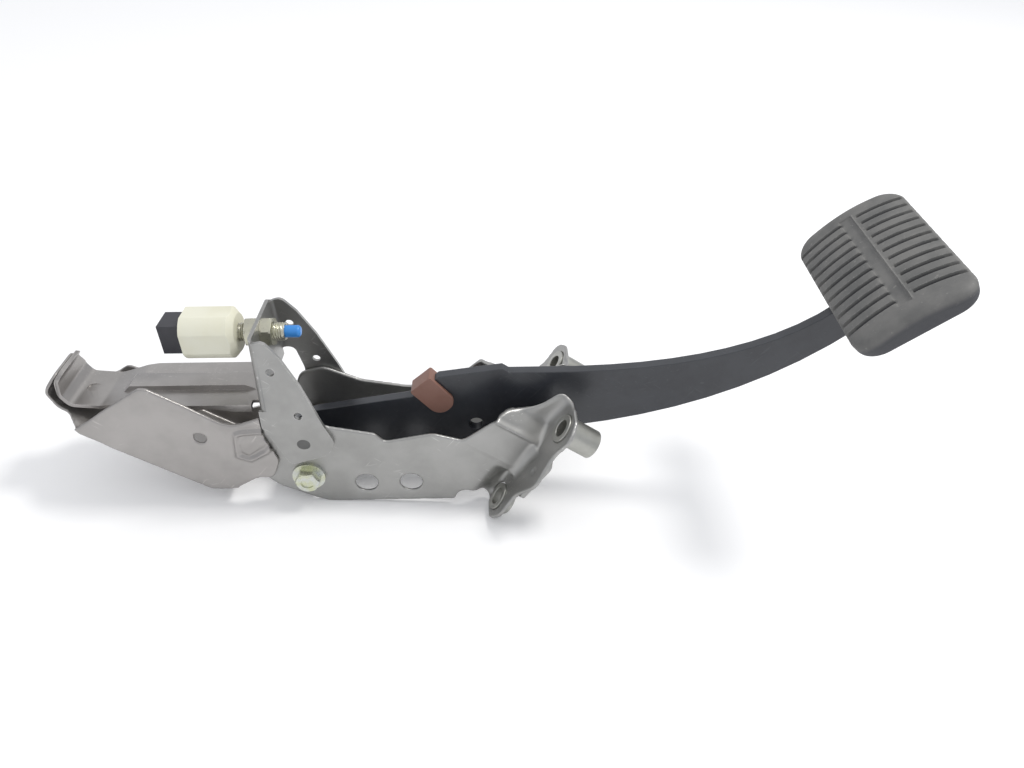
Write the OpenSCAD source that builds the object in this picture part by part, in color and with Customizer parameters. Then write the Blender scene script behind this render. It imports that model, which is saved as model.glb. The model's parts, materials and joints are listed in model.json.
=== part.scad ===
// Hanging brake pedal on its pressed steel bracket, lying on its side plates as it rests on a table.
// X runs from the upper hook to the pedal pad, Y is the pivot axis and Z is up. The origin is on
// the table, under the middle of the whole length.
// Inside the bracket frame, before it is laid down, the pivot axis is the origin.

/* [Side plates] */
// Distance between the inner faces of the two side plates
plate_gap = 48; // [44:0.5:56]
// Thickness of the side plates
plate_t = 2.3; // [1.8:0.1:3]
// Height of the pivot above the straight bottom edge
pivot_up = 20.5; // [19:0.5:24]
// Diameter of the access holes in the side plates
access_d = 12.5; // [8:0.5:14]
// Pitch of the two access holes
access_pitch = 25; // [20:0.5:32]

/* [Booster face] */
// Distance from the pivot to the middle of the bolt square, along the bracket
face_x = 122; // [116:1:130]
// Height of the middle of the bolt square above the pivot
face_z = 9.5; // [8:0.5:12]
// Lean of the booster face from upright, in degrees
face_lean = 35; // [30:1:38]
// Side of the square of mounting holes
bolt_pitch = 60; // [56:1:64]
// Diameter of the mounting holes
bolt_hole_d = 9.5; // [8.5:0.5:11]
// Outer diameter of the spacer collars
collar_d = 16; // [14:0.5:17]
// Length of the two upper collars past the face
collar_long = 18; // [10:1:22]
// Length of the two lower collars past the face
collar_short = 5; // [4:0.5:7]
// Thickness of the base plate between the collars
base_t = 2.6; // [2:0.1:4]

/* [Upper hook] */
// Thickness of the hook and the outer channel sheet
hook_t = 2; // [1.6:0.1:2.6]
// Width of the hook
hook_w = 31; // [26:1:36]
// Height of the raised rib along the hook channel
rib_h = 3; // [2:0.5:4]
// Width of the raised rib
rib_w = 12; // [8:1:16]

/* [Switch] */
// Height of the switch axis above the pivot
switch_z = 78; // [76:0.5:80]
// Thread diameter of the switch
switch_thread_d = 10; // [8:1:12]
// Width across the flats of the two lock nuts
switch_nut_af = 14; // [14:1:17]
// Thickness of each lock nut
switch_nut_t = 6; // [4:0.5:7]
// Diameter of the plastic switch body
switch_body_d = 27; // [24:0.5:29]
// Length of the plastic switch body
switch_body_l = 27; // [24:1:32]
// Diameter of the plunger
plunger_d = 6.5; // [4:0.5:7]
// Length of the plunger that stands out of the thread
plunger_out = 8; // [6:0.5:9]
// Thickness of the switch bracket sheet
leg_t = 2; // [1.6:0.1:2.6]

/* [Pivot] */
// Diameter of the pivot bolt
pivot_bolt_d = 8; // [6:1:10]
// Width across the flats of the bolt head and nut
pivot_af = 12; // [12:1:14]
// Diameter of the washer flange of the head and nut
pivot_flange_d = 18; // [16:0.5:20]
// Outer diameter of the spacer sleeve that the pedal turns on
sleeve_d = 12; // [12:0.5:14]
// Radial running clearance of the bushes on the sleeve
bush_clear = 0.05; // [0.02:0.01:0.1]
// Wall of the plastic bushes
bush_wall = 2; // [1.5:0.25:2.5]
// Outer diameter of the pedal boss tube
boss_d = 22; // [21:0.5:26]

/* [Pedal arm] */
// Thickness of the flat bar
arm_t = 6; // [5:0.5:8]
// Diameter of the hole for the push rod pin
clevis_d = 8; // [6:0.5:10]
// Thickness of the plastic stop clip
clip_t = 2.4; // [1.8:0.2:3]

/* [Pad] */
// Width of the rubber pad, across the car
pad_w = 106; // [92:1:115]
// Height of the rubber pad, along the foot
pad_h = 58; // [52:1:64]
// Radius of the crown of its face, from its low edge to its high edge
crown_r = 78; // [72:2:120]
// Thickness of the rubber in front of its steel plate
pad_t = 9; // [7:0.5:11]
// Thickness of the steel plate inside the pad
pad_plate_t = 3; // [2:0.5:4]
// Slope of the pad, in degrees from the table
pad_slope = 40; // [38:1:44]
// Turn of the pad on the end of its arm, in degrees
pad_turn = 2.4; // [0:0.2:4]
// Number of grooves on each side of the channel
groove_count = 11; // [5:1:13]
// Pitch of the grooves
groove_pitch = 7.7; // [5:0.1:7.8]
// Width of each groove
groove_w = 2; // [1:0.2:3]
// Depth of each groove
groove_depth = 2.2; // [1:0.2:3]

/* [Hidden] */
$fn = 64;

wall_in = plate_gap / 2;
wall_out = wall_in + plate_t;
collar_r = collar_d / 2;
bolt_half = bolt_pitch / 2;
// Where the back face of the switch bracket's cross plate stands, where its legs start to lean in,
// and where their back edge turns in
leg_x = -19;
leg_knee = 38.5;
leg_turn = 30;

// A point of the side view given by its height v up the booster face and its distance n past it
function face(v, n) = [face_x + v * sin(face_lean) + n * cos(face_lean),
                       face_z + v * cos(face_lean) - n * sin(face_lean)];

// The low points that the bracket lies on: the left end of the bottom edge, and on the right
// the lower collars or the flange's low edge, whichever reaches lower
rest_left = [9, -pivot_up];
flange_low = -bolt_half - 10.5;
rest_right = [face(-bolt_half - collar_r, plate_t + collar_short), face(flange_low, plate_t)];
lay = max([0, for (p = rest_right) atan2(rest_left[1] - p[1], p[0] - rest_left[0])]);
floor_z = rest_left[0] * sin(lay) + rest_left[1] * cos(lay);

// A unit vector, and a vector turned by an angle
function unit(v) = v / norm(v);
function turned(v, a) = [v[0] * cos(a) - v[1] * sin(a), v[0] * sin(a) + v[1] * cos(a)];
function cross2(a, b) = a[0] * b[1] - a[1] * b[0];
function xy(p) = [p[0], p[1]];

// One corner of an outline as an arc: p, q and r are three points in turn and q[2] is the radius
function corner(p, q, r, steps) =
    let (a = unit(xy(p) - xy(q)), b = unit(xy(r) - xy(q)),
         half = acos(a * b) / 2,
         centre = xy(q) + unit(a + b) * q[2] / sin(half),
         start = xy(q) + a * q[2] / tan(half) - centre,
         turn = (180 - 2 * half) * (cross2(a, b) > 0 ? -1 : 1))
    [for (i = [0:steps]) centre + turned(start, turn * i / steps)];

// An outline with rounded corners, from points [x, z] or [x, z, radius]
function rounded(pts, steps = 4) =
    let (n = len(pts))
    [for (i = [0:n - 1])
        each (len(pts[i]) < 3 ? [xy(pts[i])]
              : corner(pts[(i + n - 1) % n], pts[i], pts[(i + 1) % n], steps))];

// The open line through points, rounded in the same way but with its two ends kept
function rounded_line(pts, steps = 5) =
    let (n = len(pts))
    [for (i = [0:n - 1])
        each (i == 0 || i == n - 1 || len(pts[i]) < 3 ? [xy(pts[i])]
              : corner(pts[i - 1], pts[i], pts[i + 1], steps))];

// The same open line moved sideways by d, to the left of its direction
function side_of(pts, i) =
    let (n = len(pts),
         before = i == 0 ? unit(pts[1] - pts[0]) : unit(pts[i] - pts[i - 1]),
         after = i == n - 1 ? before : unit(pts[i + 1] - pts[i]),
         normal = unit(turned(before, 90) + turned(after, 90)))
    normal / (normal * turned(after, 90));
function shifted(pts, d) = [for (i = [0:len(pts) - 1]) pts[i] + side_of(pts, i) * d];
function backwards(pts) = [for (i = [len(pts) - 1:-1:0]) pts[i]];
function thickened(line, t) = concat(line, backwards(shifted(line, t)));

// A curve through a start, towards a control point, to an end
function bow(a, b, c, steps) =
    [for (i = [0:steps]) let (t = i / steps) a * (1 - t) * (1 - t) + b * 2 * t * (1 - t) + c * t * t];

// Lay the bracket down on its low points and centre its length on the origin
module laid() translate([-middle_x, 0, -floor_z]) rotate([0, -lay, 0]) children();

// Thicken a side view outline across the car, from y_low upwards
module across(y_low, t) translate([0, y_low + t, 0]) rotate([90, 0, 0]) linear_extrude(t) children();

// Work on the booster face: local x is across the car, local y is up the face, local z is past it
module on_face() translate([face_x, 0, face_z]) rotate([0, face_lean, 0]) rotate([90, 0, 90]) children();

// A straight hole or pin along the car's cross axis
module cross_pin(x, z, r, y_low, y_high)
    translate([x, y_high, z]) rotate([90, 0, 0]) cylinder(r = r, h = y_high - y_low);

// A strip of bent sheet seen from the side, as wide as w
module bent_sheet(line, t, w) across(-w / 2, w) polygon(thickened(line, t));

// Side plates

// Each plate is one bent sheet. Above a ridge its wall steps inwards to a pocket beside the upper hole,
// below it leans inwards beside the lower hole, and a bend turns it out into the booster flange.
pocket_y = bolt_half - 14.5;
pocket_v = bolt_half - 10.5;
pocket_r = 4;
ridge_v = bolt_half - 19.5;
ridge_r = plate_t + 1;
low_y = bolt_half - 12.5;
low_v = -bolt_half * 0.47;
low_n = -11;
low_r = 2.5;
low_bend_r = 8;
flange_r = 5;
flange_top = bolt_half + 11;
mid_v = 3;
dimple_y = bolt_half + 9.5;
dimple_r = 2.5;
dimple_depth = 0.8;
bolt_clear = 0.25;
access_x = 31;
access_z = -7;
wall_reach = 160;

// The outer face of the wall looking along the ridge, as [y, v], and how far its bends run
wall_line = rounded_line([[wall_out, -wall_reach], [wall_out, ridge_v, ridge_r],
                          [pocket_y, pocket_v, ridge_r], [pocket_y, wall_reach]]);
ridge_run = ridge_r * tan(atan2(wall_out - pocket_y, pocket_v - ridge_v) / 2);
ridge_start = ridge_v - ridge_run;
pocket_start = pocket_v + ridge_run;

// The outer faces of the three bends into the flange looking up the booster face, as [y, n]
bend_from = low_n - 4;
wall_end = wall_out + flange_r;
pocket_end = pocket_y + pocket_r;
low_turn = 90 + atan2(wall_out - low_y, -low_n);
low_end = low_y + low_r * tan(low_turn / 2) + 0.3;
mid_line = rounded_line([[wall_out, bend_from], [wall_out, 0, flange_r], [wall_end + 1, 0]]);
low_line = rounded_line([[wall_out, bend_from], [wall_out, low_n, low_bend_r], [low_y, 0, low_r],
                         [wall_end + 1, 0]]);
pocket_line = rounded_line([[pocket_y, -pocket_r - 2], [pocket_y, 0, pocket_r], [pocket_end + 1, 0]]);

plate_low = [[-24, -1, 3], [-17, -8, 4], rest_left + [-6, 2], rest_left, [80, -pivot_up, 1.5],
             [82.5, 6.5 - pivot_up, 5], [92, 6 - pivot_up, 8], face(flange_low, -1)];
plate_face = [face(flange_low, plate_t + 1), face(flange_top, plate_t + 1)];
near_top = [[139.5, 47.5, 5], [130, 40, 12], [120, 35.5, 14], [109, 38, 9], [101, 33, 5], [86, 23, 6],
            [70, 28, 12], [50, 24, 3], [44, 23, 3], [39, 28.5, 5], [16, 33.5]];
far_top = [[142, 48.5, 5], [134, 37, 10], [124, 32, 14], [109, 42, 8], [95, 41.5, 8], [84, 31, 12],
           [54, 22.5, 20], [25, 28, 12]];
plate_left = [[4, 38, 9], [-10, 34, 8]];

// The flange with its lobes round the two collars and the dimple, as [y, v]
flange_edge = rounded([
    [low_end, flange_low], [bolt_half + 9, flange_low, 9], [bolt_half + 15, -bolt_half, 9],
    [bolt_half + 12, -bolt_half / 2, 12], [bolt_half + 21, mid_v, 8],
    [bolt_half + 12.5, bolt_half * 0.66, 14], [bolt_half + 15, bolt_half + 5, 8],
    [bolt_half + 6, flange_top, 6], [pocket_end, flange_top],
    [pocket_end, pocket_start], [pocket_y - plate_t / 2, pocket_start],
    [wall_out - plate_t / 2, ridge_start], [wall_end, ridge_start], [wall_end, low_v], [low_end, low_v]]);

module bent_wall(line, v_low, v_high) translate([0, v_high, 0]) rotate([90, 0, 0])
    linear_extrude(v_high - v_low) polygon(thickened(line, plate_t));

module plate_sheet() {
    difference() {
        translate([0, 0, -wall_reach]) linear_extrude(wall_reach + plate_t)
            polygon(thickened(wall_line, plate_t));
        // Where the bends take over from the wall
        translate([0, -wall_reach, bend_from + 1]) cube([wall_reach, wall_reach + ridge_start, wall_reach]);
        translate([0, pocket_start, -pocket_r - 1]) cube(wall_reach);
    }
    bent_wall(low_line, flange_low - 1, low_v);
    bent_wall(mid_line, low_v, ridge_start);
    bent_wall(pocket_line, pocket_start, flange_top + 1);
    // The step between the lower lean and the middle of the wall
    translate([0, low_v + plate_t, 0]) rotate([90, 0, 0]) linear_extrude(plate_t)
        polygon(concat(shifted(low_line, plate_t), backwards(mid_line)));
}

// One side plate as it stands on the far side, with the given top edge
module side_plate(top) {
    difference() {
        intersection() {
            on_face() plate_sheet();
            across(0, wall_end + 2) polygon(rounded(concat(plate_low, plate_face, top, plate_left)));
        }
        for (i = [0:1])
            cross_pin(access_x + i * access_pitch, access_z, access_d / 2, wall_in - 1, wall_out + 1);
        cross_pin(0, 0, pivot_bolt_d / 2 + bolt_clear, wall_in - 1, wall_out + 1);
        on_face() collar_holes();
    }
    on_face() difference() {
        linear_extrude(plate_t) polygon(flange_edge);
        collar_holes();
        translate([dimple_y, mid_v, -1]) cylinder(r = dimple_r, h = 1 + dimple_depth);
    }
}

module collar_holes() for (v = [-bolt_half, bolt_half])
    translate([bolt_half, v, -collar_proud]) cylinder(r = collar_r, h = collar_proud + plate_t + 1);

module side_plate_near() color("#b4b4b0") mirror([0, 1, 0]) side_plate(near_top);
module side_plate_far() color("#a8a8a6") side_plate(far_top);

// Booster face

notch_half = 13;
notch_v = 3;
base_half = bolt_half + 14;
base_shoulder = 13;
base_top = 20;
base_low = -24;
base_neck = 20;

module base_plate() color("#9c9c9a") on_face() translate([0, 0, plate_t]) linear_extrude(base_t)
    polygon(rounded([[-base_half, base_shoulder, 3], [-base_half, -base_shoulder, 3],
                     [-base_neck, base_low, 5], [base_neck, base_low, 5],
                     [base_half, -base_shoulder, 3], [base_half, base_shoulder, 3],
                     [base_neck, base_top, 3], [notch_half, base_top, 3], [notch_half, notch_v, 8],
                     [-notch_half, notch_v, 8], [-notch_half, base_top, 3], [-base_neck, base_top, 3]]));

collar_proud = 0.8;
module collar(side, v, length) color("#b8b6ae") on_face() translate([side * bolt_half, v, -collar_proud])
    difference() {
        cylinder(r = collar_r, h = collar_proud + plate_t + length);
        translate([0, 0, -1]) cylinder(r = bolt_hole_d / 2, h = collar_proud + plate_t + length + 2);
    }

module collar_near_upper() collar(-1, bolt_half, collar_long);
module collar_near_lower() collar(-1, -bolt_half, collar_short);
module collar_far_upper() collar(1, bolt_half, collar_long);
module collar_far_lower() collar(1, -bolt_half, collar_short);

// Upper hook

// The under side of the outer sheet, from the hook's lip down to the foot by the side plates
hook_lip = [-124.5, 63.5];
hook_back = [-134, 51];
outer_line = rounded_line([hook_lip, concat(hook_back, [6]), [-129.5, 39, 9], [-119, 35, 9],
                           [-55, -8, 6], [-40, -8]]);
outer_half = wall_out + hook_t;
lip_h = 8;
wall_gap = 0.5;
lip_r = 6;

// The inner sheet lies on the outer one at the lip, leaves it in a tighter curve, then runs level
// to the switch bracket
level_z = 43;
hook_dimple_x = -115.5;
inner_end = leg_x - hook_t;
channel_half = 20;
rib_top = level_z + hook_t + rib_h;
lip_dir = unit(hook_lip - hook_back);
lip_seat = shifted(outer_line, hook_t)[0];
inner_line = rounded_line([lip_seat + lip_dir * 5, concat(lip_seat - lip_dir * 4, [8]), [-126.6, 49, 6],
                           [-122.5, 42, 6], [-106, 40.3, 10], [-92, level_z, 8],
                           [inner_end - 4, level_z]]);

// Half of a sheet's plan, [x, y] points that widen from the hook, mirrored to a whole one
module plan_of(half) translate([0, 0, -30]) linear_extrude(130)
    polygon(concat(rounded(half), backwards([for (p = rounded(half)) [p[0], -p[1]]])));

// Cutters that round the two corners of a lip whose tip is at a height
module tip_corners(top) for (side = [-1, 1]) on_side(side)
    translate([-145, hook_w / 2 - lip_r, top - lip_r]) rotate([90, 0, 90]) linear_extrude(45) difference() {
        square(lip_r + 4);
        circle(lip_r);
    }

module outer_wall() {
    difference() {
        polygon(rounded([[-118, 36], [-75, 63.5, 5], [-58, 52, 10], [-36, 36, 14],
                         [leg_x - wall_gap, 42], [leg_x - wall_gap, leg_turn - 1, 6],
                         [leg_x + 5, 12, 3], [leg_x, 0, 4],
                         [-28, 0, 6], [-42, -8, 5], [-55, -8, 4]]));
        translate([-53, 29]) rotate(-10) union() {
            circle(r = 3.2);
            translate([-3.2, -2]) square([3.2, 5.2]);
        }
    }
}

emboss_line = [[-38, 32, 5], [-17, 25.5, 3], [-32, 9, 4]];
emboss_mid = [-29, 22.5];
emboss_share = 0.62;
emboss_h = 1;
module emboss_inside()
    translate(emboss_mid) scale(emboss_share) translate(-emboss_mid) polygon(rounded(emboss_line));

module outer_channel() color("#a9a49d") {
    // The sheet widens to the side walls below the hook
    difference() {
        intersection() {
            bent_sheet(outer_line, hook_t, 2 * outer_half);
            plan_of([[-150, 0], [-150, hook_w / 2], [-125, hook_w / 2, 3], [-116, outer_half, 3],
                     [-38, outer_half], [-38, 0]]);
        }
        tip_corners(hook_lip[1]);
    }
    difference() {
        across(-outer_half, hook_t) outer_wall();
        across(-outer_half - 1, 1 + hook_t / 2) emboss_inside();
    }
    across(-outer_half - emboss_h, emboss_h) difference() {
        polygon(rounded(emboss_line));
        emboss_inside();
    }
    across(wall_out, hook_t) polygon(rounded([[-116, 35], [-108, 40, 4], [-52, lip_h - 4, 6], [-30, 10, 4],
                                              [leg_x + 4, 11, 3], [leg_x + 2, 1, 3], [-28, 0, 6],
                                              [-42, -8, 5], [-55, -8, 4]]));
}

module hook_channel() color("#b0a89e") {
    difference() {
        intersection() {
            bent_sheet(inner_line, hook_t, 2 * channel_half);
            plan_of([[-150, 0], [-150, hook_w / 2], [-104, hook_w / 2, 8], [-86, channel_half, 8],
                     [inner_end, channel_half], [inner_end, 0]]);
        }
        tip_corners(inner_line[0][1]);
        translate([hook_dimple_x, 0, level_z]) cylinder(r = 3.5, h = 20);
    }
    // Raised rib with sloping ends
    across(-rib_w / 2, rib_w) polygon([[-98, level_z], [-93, rib_top], [inner_end - 10, rib_top],
                                       [inner_end - 4, level_z + hook_t], [inner_end - 4, level_z]]);
    // Side rims bent down, and the end turned up against the switch bracket
    for (side = [-1, 1]) across(side * (channel_half - hook_t / 2) - hook_t / 2, hook_t)
        polygon(rounded([[-84, level_z + 1], [-78, level_z - 2.5, 4], [-60, level_z - 2, 6],
                         [-47, level_z - 0.3, 6], [-34, level_z - 2.5, 6], [inner_end - 4, level_z - 2.5],
                         [inner_end - 4, level_z + 1]]));
    translate([inner_end - 4, -hook_w / 2, level_z]) cube([4, hook_w, hook_t]);
    translate([inner_end, -hook_w / 2, level_z]) cube([hook_t, hook_w, 11]);
}

// Switch bracket

// The height of its top edge
leg_top = switch_z + switch_thread_d / 2 + 3;
// How far each leg leans in above its knee, in degrees
leg_narrow = 7;
leg_out = wall_out + leg_t;
cross_low = level_z + hook_t + 1;
cross_bevel = 3;
bend_r = 5;
thread_clear = 0.15;
leg_hole_r = 2.2;
leg_holes = [[leg_x + 9.5, switch_z - 9], [leg_x + 20, 43]];

// Half the width over the legs at a height
function leg_half(z) = leg_out - (z - leg_knee) * tan(leg_narrow);

// The outer face of the far leg seen from the front, as [y, z], and both legs' outline from the side
leg_bend = [[leg_out, -pivot_up], [leg_out, leg_knee], [leg_half(leg_top + 1), leg_top + 1]];
leg_outline = rounded([[leg_x, leg_top - 2, 1], [leg_x + 8, leg_top, 4], [-4, switch_z - 1, 6],
                       [4, 61, 20], [18, 24, 8], [13, 16, 8], [leg_x + 11, 9.5, 3],
                       [leg_x + 3, leg_turn, 4], [leg_x, leg_turn + 6]]);
// The far leg is cut away beside the hook channel
leg_window = rounded([[leg_x - 1, 52], [-10, 52, 4], [-7, 36, 6], [-7, 24, 4], [leg_x - 1, 24]]);

// Work up the leaning back edge of the far leg from the cross plate's low edge: local x is along the
// leg, local y across the car with the leg's outer face at 0, and local z is up the edge
module leg_edge() translate([leg_x, leg_out, leg_knee]) rotate([leg_narrow, 0, 0])
    translate([0, 0, (cross_low - leg_knee) / cos(leg_narrow)]) linear_extrude(leg_top) children();

// The fillet inside the bend between the cross plate and a leg, and the cutter outside it. Their rounds
// pass a little beyond the sheets' faces, so that they end in a clean line.
bend_past = 0.06;
module bend_inside() leg_edge() difference() {
    translate([leg_t / 2, -bend_r]) square(bend_r - leg_t / 2);
    translate([bend_r, -bend_r]) circle(r = bend_r - leg_t + bend_past);
}
module bend_outside() leg_edge() difference() {
    translate([-2, -bend_r]) square(bend_r + 2);
    translate([bend_r, -bend_r]) circle(r = bend_r + bend_past);
}

module leg(window) intersection() {
    union() {
        translate([leg_x, 0, 0]) rotate([90, 0, 90]) linear_extrude(-leg_x + 20)
            polygon(thickened(leg_bend, leg_t));
        bend_inside();
    }
    difference() {
        across(0, leg_out + 1) polygon(leg_outline);
        for (at = leg_holes) cross_pin(at[0], at[1], leg_hole_r, -1, leg_out + 2);
        if (window) across(-1, leg_out + 3) polygon(leg_window);
    }
}

module switch_bracket() color("#a6a7a3") difference() {
    union() {
        cross_plate();
        leg(true);
        mirror([0, 1, 0]) leg(false);
    }
    bend_outside();
    mirror([0, 1, 0]) bend_outside();
}

module cross_plate() {
    translate([leg_x, 0, 0]) rotate([90, 0, 90]) difference() {
        linear_extrude(leg_t) polygon([
            [-leg_half(cross_low), cross_low], [leg_half(cross_low), cross_low],
            [leg_half(leg_top - 2), leg_top - 2], [leg_half(leg_top) - cross_bevel, leg_top],
            [cross_bevel - leg_half(leg_top), leg_top], [-leg_half(leg_top - 2), leg_top - 2]]);
        translate([0, switch_z, -1]) cylinder(r = switch_thread_d / 2 + thread_clear, h = leg_t + 2);
    }
}

// Stop lamp switch

barrel_front = leg_x + leg_t + switch_nut_t + 6;
body_front = leg_x - switch_nut_t - 4;
body_back = body_front - switch_body_l;
socket_l = 12;
socket_w = 15;
socket_h = 16.5;
socket_wall = 1.4;
plunger_fit = 0.05;
plunger_travel = 5;
plunger_seat = barrel_front - 18;
bore_end = plunger_seat - plunger_travel - 0.5;

// Something turned about the switch axis, starting at x
module on_switch(x) translate([x, 0, switch_z]) rotate([0, 90, 0]) children();

// A round housing with a coned front and four shallow flats
nose_l = 3;
body_flat = switch_body_d / 2 - 1.2;
module switch_body() color("#e9e6cf") intersection() {
    on_switch(body_back) union() {
        cylinder(d = switch_body_d, h = switch_body_l - nose_l);
        translate([0, 0, switch_body_l - nose_l])
            cylinder(d1 = switch_body_d, d2 = switch_body_d - 2 * nose_l - 1, h = nose_l);
    }
    translate([body_back, -body_flat, switch_z - body_flat])
        cube([switch_body_l, 2 * body_flat, 2 * body_flat]);
}

module switch_connector() color("#26272b") difference() {
    translate([body_back - socket_l, -socket_w / 2, switch_z - socket_h / 2])
        cube([socket_l, socket_w, socket_h]);
    translate([body_back - socket_l - 1, socket_wall - socket_w / 2, switch_z - socket_h / 2 + socket_wall])
        cube([socket_l - 1, socket_w - 2 * socket_wall, socket_h - 2 * socket_wall]);
}

blade_t = 0.8;
blade_w = 6;
blade_y = 3.2;
module switch_terminals() color("#c9b26a")
    for (side = [-1, 1])
        translate([body_back - socket_l + 3, side * blade_y - blade_t / 2, switch_z - blade_w / 2])
            cube([socket_l - 5, blade_t, blade_w]);

module switch_barrel() color("#c9c7b8") difference() {
    on_switch(body_front) cylinder(d = switch_thread_d, h = barrel_front - body_front);
    on_switch(bore_end) cylinder(d = plunger_d + 2 * plunger_fit, h = barrel_front - bore_end + 1);
}

// A hexagon nut with bevelled corners
corner_share = 1.09;
module lock_nut(x) on_switch(x) difference() {
    intersection() {
        cylinder(d = switch_nut_af / cos(30), h = switch_nut_t, $fn = 6);
        union() {
            cylinder(d = switch_nut_af * corner_share, h = switch_nut_t);
            translate([0, 0, 1]) cylinder(d = switch_nut_af * 1.2, h = switch_nut_t - 2);
        }
    }
    translate([0, 0, -1]) cylinder(d = switch_thread_d, h = switch_nut_t + 2);
}

module switch_nut_rear() color("#bdbcb2") lock_nut(leg_x - switch_nut_t);
module switch_nut_front() color("#bdbcb2") lock_nut(leg_x + leg_t);

plunger_l = barrel_front - plunger_seat + plunger_out;
tip_r = 2;
module plunger() color("#2f7fd6") on_switch(plunger_seat) rotate_extrude() polygon(concat(
    [[0, 0], [plunger_d / 2, 0]],
    [for (i = [0:6]) [plunger_d / 2 - tip_r + tip_r * cos(15 * i), plunger_l - tip_r + tip_r * sin(15 * i)]],
    [[0, plunger_l]]));

// Pivot

head_h = 7;
head_flange_h = 1.8;
nut_h = 7;
sleeve_wall_in = pivot_bolt_d / 2 + 0.1;
bush_r = sleeve_d / 2 + bush_clear;
bush_out = bush_r + bush_wall;
bush_flange_t = 1.2;
bush_flange_r = bush_out + 2;
side_play = 0.3;
boss_half = wall_in - side_play - bush_flange_t;
bush_l = 14;

module hex_head(h) union() {
    cylinder(d = pivot_flange_d, h = head_flange_h);
    intersection() {
        cylinder(d = pivot_af / cos(30), h = h, $fn = 6);
        union() {
            cylinder(d = pivot_af * 1.2, h = h - 1);
            cylinder(d1 = pivot_af * 1.2 + 2 * h, d2 = pivot_af * 1.0, h = h);
        }
    }
}

module pivot_bolt() color("#cfcdb6") {
    translate([0, -wall_out, 0]) rotate([90, 0, 0]) difference() {
        hex_head(head_h);
        translate([0, 0, head_h - 0.6]) cylinder(d = pivot_af * 0.6, h = 1);
    }
    cross_pin(0, 0, pivot_bolt_d / 2, -wall_out, wall_out + nut_h + 3);
}

module pivot_nut() color("#c4c2ae") translate([0, wall_out, 0]) rotate([-90, 0, 0]) difference() {
    hex_head(nut_h);
    translate([0, 0, -1]) cylinder(d = pivot_bolt_d, h = nut_h + 2);
}

module pivot_sleeve() color("#a7a7a2") difference() {
    cross_pin(0, 0, sleeve_d / 2, -wall_in, wall_in);
    cross_pin(0, 0, sleeve_wall_in, -wall_in - 1, wall_in + 1);
}

module boss_tube() color("#1d1e22") difference() {
    cross_pin(0, 0, boss_d / 2, -boss_half, boss_half);
    cross_pin(0, 0, bush_out, -boss_half - 1, boss_half + 1);
}

module on_side(side) mirror([0, side < 0 ? 1 : 0, 0]) children();
module bush(side) on_side(side) difference() {
    union() {
        cross_pin(0, 0, bush_out, boss_half - bush_l, boss_half);
        cross_pin(0, 0, bush_flange_r, boss_half, boss_half + bush_flange_t);
    }
    cross_pin(0, 0, bush_r, boss_half - bush_l - 1, boss_half + bush_flange_t + 1);
}

module bush_near() color("#d8d2b8") bush(-1);
module bush_far() color("#d8d2b8") bush(1);

// Pedal arm

arm_half = arm_t / 2;
pad_dir = [cos(pad_slope), sin(pad_slope)];
pad_out = [-sin(pad_slope), cos(pad_slope)];
pad_centre = [296, 116.2];
pad_back = pad_centre - pad_out * (pad_t + pad_plate_t);
step_low = [58, 36];
step_high = [73, 49];
arm_top_right = pad_back - pad_dir * 37;
arm_tip = pad_back + pad_dir * 20;
clevis_at = [93, 16];
rest_gap = 0.5;
arm_low = face(notch_v, plate_t) + [0, rest_gap];

arm_outline = concat(
    [[-12, 20, 12], [3, 27, 14]],
    [step_low, step_high, [108, 54], [111.5, 51.5]],
    bow([129, 51.5], [230, 50], arm_top_right, 10),
    [arm_tip],
    [pad_back + pad_dir * 22 - pad_out * 6],
    bow([297, 78], [234, 20], arm_low, 10),
    [[60, -2], [16, -16, 14], [-18, -14, 18]]);

module pedal_arm() color("#17181c") difference() {
    across(-arm_half, arm_t) polygon(rounded(arm_outline));
    cross_pin(0, 0, boss_d / 2, -arm_t, arm_t);
    cross_pin(clevis_at[0], clevis_at[1], clevis_d / 2, -arm_t, arm_t);
}

// Stop clip on the sloped step of the arm
clip_dir = unit(step_high - step_low);
clip_in = [clip_dir[1], -clip_dir[0]];
clip_mid = (step_low + step_high) / 2;
clip_len = 15;
clip_face_t = 4;
clip_flap = 19;
clip_round = 1.2;
clip_half = arm_half + clip_t;

function on_clip(a, b) = clip_mid + clip_dir * a + clip_in * b;

module clip_flap_shape() polygon(rounded([on_clip(-clip_len / 2, 0), on_clip(clip_len / 2, 0),
    concat(on_clip(clip_len / 2, clip_flap), [clip_len * 0.46]),
    concat(on_clip(-clip_len / 2, clip_flap), [clip_len * 0.46])], 8));

module stop_clip() color("#7d4f3c") {
    across(-clip_half, 2 * clip_half) polygon(rounded([on_clip(-clip_len / 2, 0), on_clip(clip_len / 2, 0),
        concat(on_clip(clip_len / 2, -clip_face_t), [clip_round]),
        concat(on_clip(-clip_len / 2, -clip_face_t), [clip_round])]));
    for (y = [-clip_half, arm_half]) across(y, clip_t) clip_flap_shape();
}

// Pad

// Work on the back of the pad: local x is up the foot, local y across the car, local z out of the pad
module on_arm_end() translate([pad_back[0], 0, pad_back[1]]) rotate([0, -pad_slope, 0]) children();
module on_pad() on_arm_end() rotate([0, 0, -pad_turn]) children();

plate_margin = 4;
skirt = 4;
channel_x = -1.2;
channel_w = 6.4;
channel_depth = 0.8;
channel_first = 13;
channel_last = 14;
high_gap = 2.5;
edge_margin = 2;
arm_slot = 0.4;
pad_top = pad_plate_t + pad_t;
pad_low = pad_plate_t - skirt;
groove_first = pad_w / 2 - 10.5;
pad_corner = 9;
rim_r = 4;
edge_drop = pow(pad_h / 2, 2) / (2 * crown_r);
low_end_x = channel_x - channel_w / 2;
high_start_x = channel_x + channel_w / 2 + high_gap;

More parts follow.
